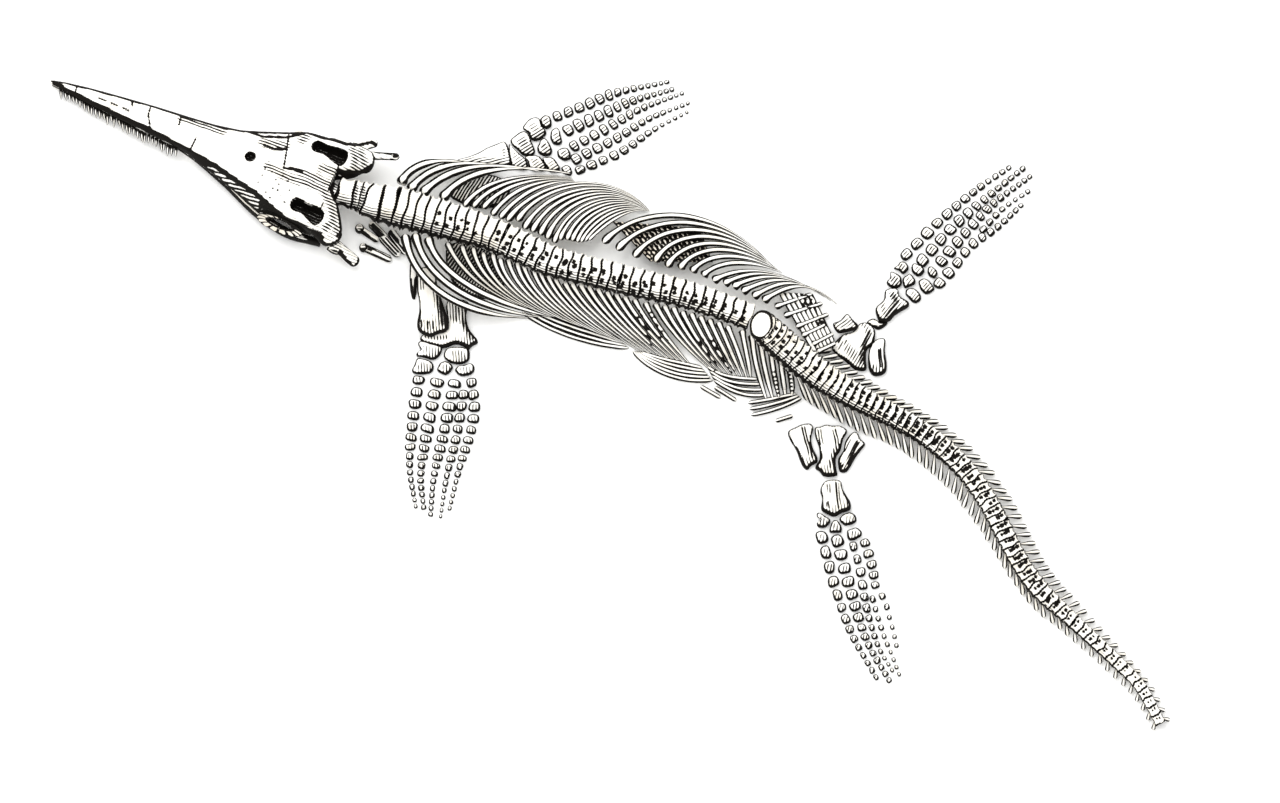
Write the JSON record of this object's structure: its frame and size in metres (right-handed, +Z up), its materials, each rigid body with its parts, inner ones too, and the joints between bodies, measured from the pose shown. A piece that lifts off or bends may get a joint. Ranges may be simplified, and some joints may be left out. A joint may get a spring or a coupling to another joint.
{
  "type": "fossil ichthyosaur skeleton",
  "caption": "Complete slender-snouted ichthyosaur skeleton lying belly down, with skull, backbone, ribs, girdles, paddles and curved tail.",
  "frame": {"origin": "centre of the bounding box in plan, at the level the bones rest on", "axes": "+X from the snout towards the tail, +Y towards the animal's right side, +Z up"},
  "size_m": [2.551, 1.0822, 0.1442],
  "materials": {
    "bone_pale": "matte",
    "bone_warm": "matte",
    "bone_dark": "matte"
  },
  "bodies": {
    "root": {"skull": "bone_pale", "mandible": "bone_warm", "eye_ring_right": "bone_dark", "eye_ring_left": "bone_dark", "column_neck": "bone_warm", "column_front": "bone_warm", "column_middle": "bone_warm", "column_rear": "bone_warm", "tail_root": "bone_warm", "tail_front": "bone_warm", "tail_middle": "bone_warm", "tail_rear": "bone_warm", "tail_tip": "bone_warm", "ribs_right_1": "bone_pale", "ribs_right_2": "bone_pale", "ribs_right_3": "bone_pale", "ribs_right_4": "bone_pale", "ribs_right_5": "bone_pale", "ribs_left_1": "bone_pale", "ribs_left_2": "bone_pale", "ribs_left_3": "bone_pale", "ribs_left_4": "bone_pale", "ribs_left_5": "bone_pale", "belly_rib_loose_1": "bone_warm", "belly_rib_loose_2": "bone_warm", "belly_rib_loose_3": "bone_warm", "belly_ribs_right": "bone_dark", "ribs_right_6": "bone_pale", "clavicle": "bone_pale", "scapula_left": "bone_pale", "humerus_left": "bone_pale", "humerus_right": "bone_pale", "coracoid_left": "bone_pale", "coracoid_right": "bone_pale", "ilium_right": "bone_pale", "pubis_right": "bone_pale", "ischium_right": "bone_pale", "hip_link_right": "bone_pale", "pubis_left": "bone_pale", "ilium_left": "bone_pale", "ischium_left": "bone_pale", "femur_right": "bone_pale", "femur_left": "bone_pale", "hyoid_front": "bone_pale", "hyoid_rear": "bone_pale", "neck_rib_1": "bone_pale", "neck_rib_2": "bone_pale", "neck_rib_3": "bone_pale", "paddle_fore_right": "bone_pale", "paddle_fore_left": "bone_pale", "paddle_hind_right": "bone_pale", "paddle_hind_left": "bone_pale"}
  },
  "joints": []
}
